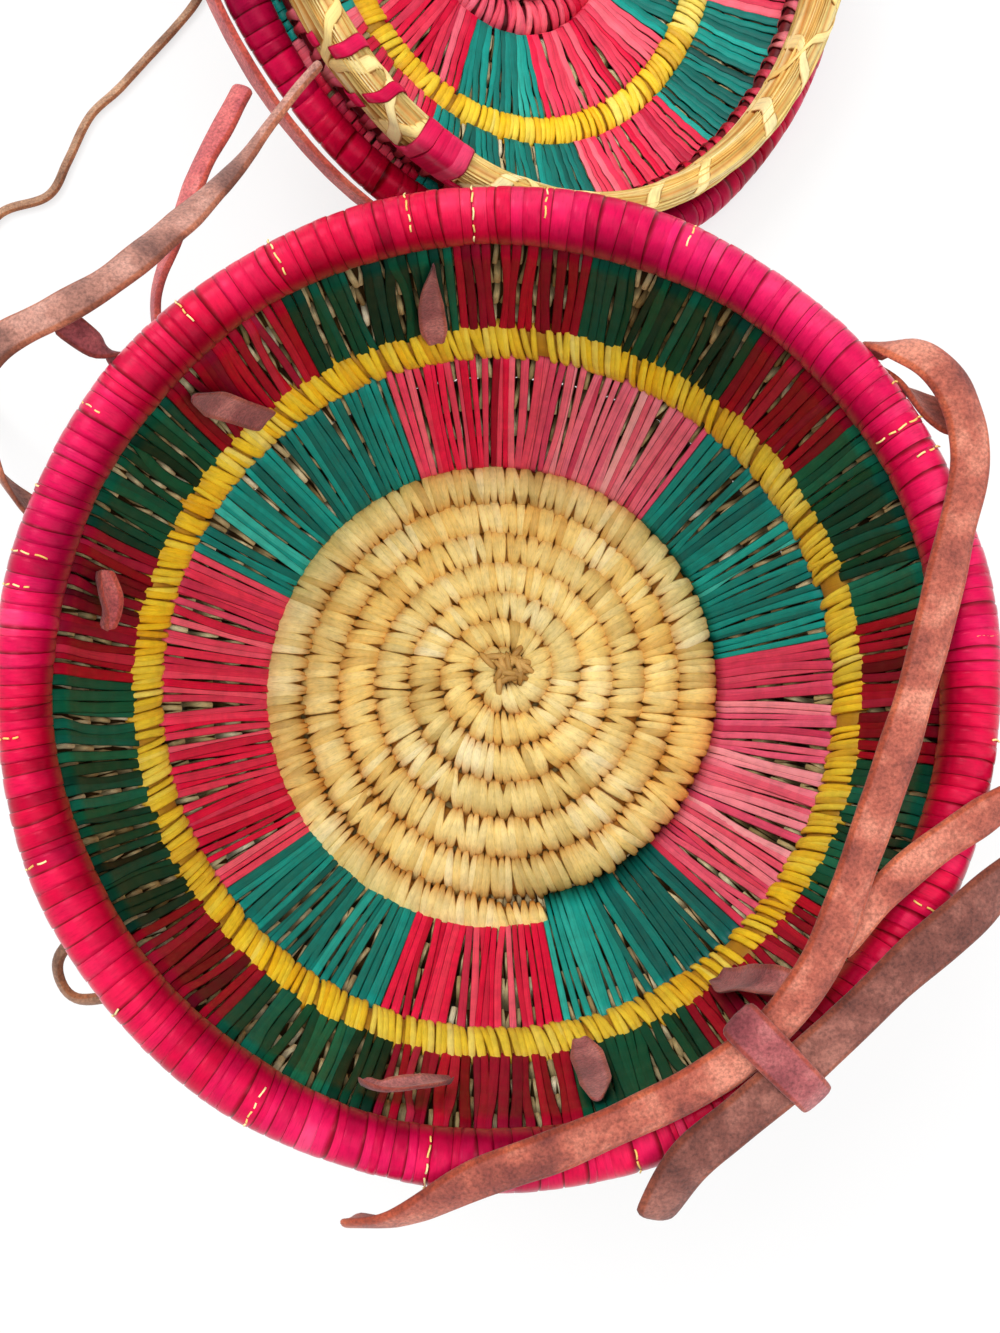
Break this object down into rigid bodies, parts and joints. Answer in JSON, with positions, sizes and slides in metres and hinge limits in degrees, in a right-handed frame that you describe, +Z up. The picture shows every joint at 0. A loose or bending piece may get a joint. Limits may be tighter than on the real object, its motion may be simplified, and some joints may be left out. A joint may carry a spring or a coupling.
{
  "type": "lidded coiled basket",
  "caption": "Round coiled grass basket with blocks of dyed wrapping, a shallow domed lid on a straw collar, and leather carrying straps and ties.",
  "frame": {"origin": "middle of the bowl's flat foot, on the ground", "axes": "+Z up along the bowl's axis, +Y towards the side where the lid is tied, +X to the right of it"},
  "size_m": [0.4084, 0.6046, 0.173],
  "materials": {
    "straw": "dry natural grass stitches over a grass bundle",
    "yellow_strip": "dyed flat strips, satin",
    "crimson_strip": "dyed flat strips, satin",
    "dark_crimson_strip": "dyed flat strips, satin, dark",
    "teal_strip": "dyed flat strips, satin",
    "green_strip": "dyed flat strips, satin, dark",
    "rim_wrap": "glossy flat strips wound side by side",
    "leather_strap": "soft napped hide, worn edges",
    "thong": "thin cut hide"
  },
  "bodies": {
    "bowl": {"center_disc": "straw", "inner_band": "crimson_strip", "inner_teal_1": "teal_strip", "inner_teal_2": "teal_strip", "inner_teal_3": "teal_strip", "inner_teal_4": "teal_strip", "yellow_ring": "yellow_strip", "outer_band": "dark_crimson_strip", "outer_green_1": "green_strip", "outer_green_2": "green_strip", "outer_green_3": "green_strip", "outer_green_4": "green_strip", "outer_green_5": "green_strip", "outer_green_6": "green_strip", "outer_green_7": "green_strip", "outer_green_8": "green_strip", "rim": "rim_wrap", "girth_strap": "leather_strap", "girth_loop_1": "leather_strap", "girth_loop_2": "leather_strap", "girth_loop_3": "leather_strap", "girth_loop_4": "leather_strap", "girth_loop_5": "leather_strap", "girth_loop_6": "leather_strap", "loop_tab_1": "leather_strap", "loop_tab_2": "leather_strap", "loop_tab_3": "leather_strap", "loop_tab_4": "leather_strap", "loop_tab_5": "leather_strap", "loop_tab_6": "leather_strap", "long_strap": "leather_strap", "side_strap": "leather_strap", "short_tie": "leather_strap", "side_thong": "thong", "thin_thong": "thong"},
    "loose_straps": {"slack_strap": "leather_strap", "double_strap": "leather_strap", "fold_strap": "leather_strap", "strap_keeper": "leather_strap"},
    "tie": {"back_tie": "leather_strap"},
    "lid": {"lid_heart_coil": "yellow_strip", "lid_crimson_coils": "crimson_strip", "lid_inner_band": "crimson_strip", "lid_inner_teal_1": "teal_strip", "lid_inner_teal_2": "teal_strip", "lid_inner_teal_3": "teal_strip", "lid_inner_teal_4": "teal_strip", "lid_yellow_ring": "yellow_strip", "lid_outer_band": "crimson_strip", "lid_outer_teal_1": "teal_strip", "lid_outer_teal_2": "teal_strip", "lid_outer_teal_3": "teal_strip", "lid_outer_teal_4": "teal_strip", "lid_outer_teal_5": "teal_strip", "lid_outer_teal_6": "teal_strip", "lid_rim": "rim_wrap", "lid_collar_coil": "crimson_strip", "lid_straw_collar": "straw", "lid_strap": "leather_strap"}
  },
  "joints": [
    {"name": "lid_swing", "type": "hinge", "parent": "bowl", "child": "tie", "pos_m": [0.00879, 0.16777, 0.15], "axis": [0.9986, -0.0523, 0], "range_deg": [0, 201.3], "deforming": ["back_tie", "long_strap", "side_strap", "thin_thong"]},
    {"name": "lid_lean", "type": "hinge", "parent": "tie", "child": "lid", "pos_m": [0.01659, 0.31657, 0.0697], "axis": [-0.8262, -0.5191, 0.219], "range_deg": [0, 47.9]},
    {"name": "straps_aside", "type": "slide", "parent": "bowl", "child": "loose_straps", "axis": [0.7986, -0.6018, 0], "range_m": [0, 0.0501]}
  ],
  "couplings": [
    {"joint": "lid_lean", "follows": "lid_swing", "ratio": 0.23762},
    {"joint": "straps_aside", "follows": "lid_swing", "m_per_rad": 0.014231}
  ]
}
